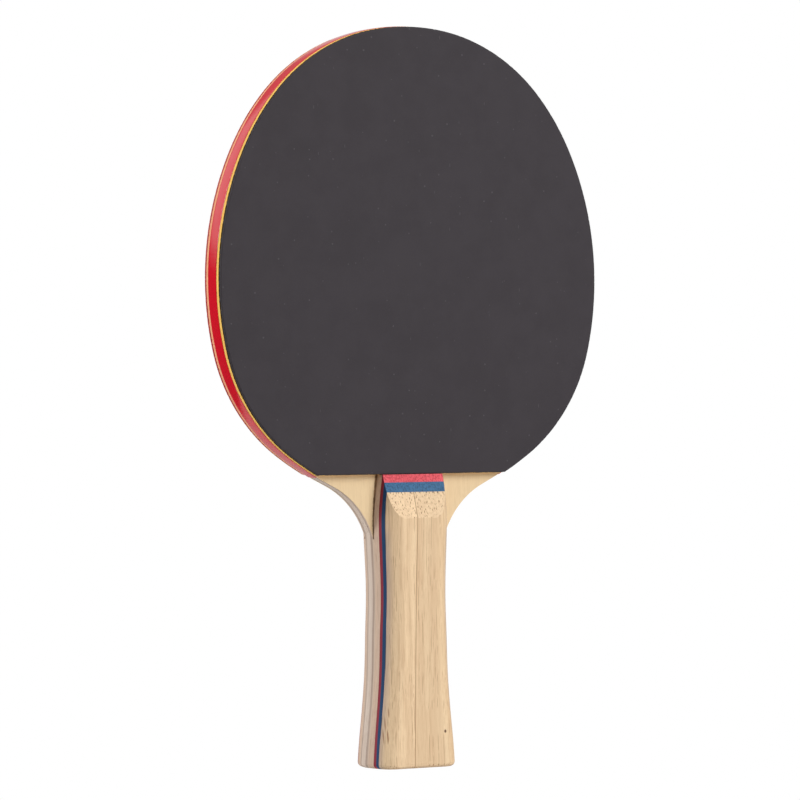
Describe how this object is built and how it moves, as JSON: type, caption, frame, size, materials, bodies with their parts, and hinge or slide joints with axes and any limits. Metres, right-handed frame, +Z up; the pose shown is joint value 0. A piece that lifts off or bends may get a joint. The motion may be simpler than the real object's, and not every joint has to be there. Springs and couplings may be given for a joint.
{
  "type": "table tennis paddle",
  "caption": "Table tennis paddle: plywood blade with black and red rubber faces on yellow sponge, red edge tape and a flared laminated handle.",
  "frame": {"origin": "centre of the flat butt end of the handle", "axes": "+Z runs up the handle to the tip of the head, -Y is the outward normal of the black rubber and +Y of the red rubber, +X is to the right seen from the black side"},
  "size_m": [0.1504, 0.024, 0.2562],
  "materials": {
    "core_wood": "raw sanded",
    "medial_wood": "raw sanded",
    "face_wood": "raw sanded",
    "yellow_sponge": "matte foam",
    "black_rubber": "matte",
    "red_rubber": "matte",
    "red_tape": "glossy",
    "handle_base_wood": "raw sanded",
    "red_dyed_wood": "raw sanded",
    "blue_dyed_wood": "raw sanded",
    "handle_wood": "raw sanded"
  },
  "bodies": {
    "root": {"core_ply": "core_wood", "front_medial_ply": "medial_wood", "back_medial_ply": "medial_wood", "front_face_ply": "face_wood", "back_face_ply": "face_wood", "front_sponge": "yellow_sponge", "back_sponge": "yellow_sponge", "front_topsheet": "black_rubber", "back_topsheet": "red_rubber", "edge_tape": "red_tape", "front_base_strip": "handle_base_wood", "back_base_strip": "handle_base_wood", "front_red_veneer": "red_dyed_wood", "back_red_veneer": "red_dyed_wood", "front_blue_veneer": "blue_dyed_wood", "back_blue_veneer": "blue_dyed_wood", "front_outer_left": "handle_wood", "front_outer_right": "handle_wood", "back_outer_left": "handle_wood", "back_outer_right": "handle_wood"}
  },
  "joints": []
}
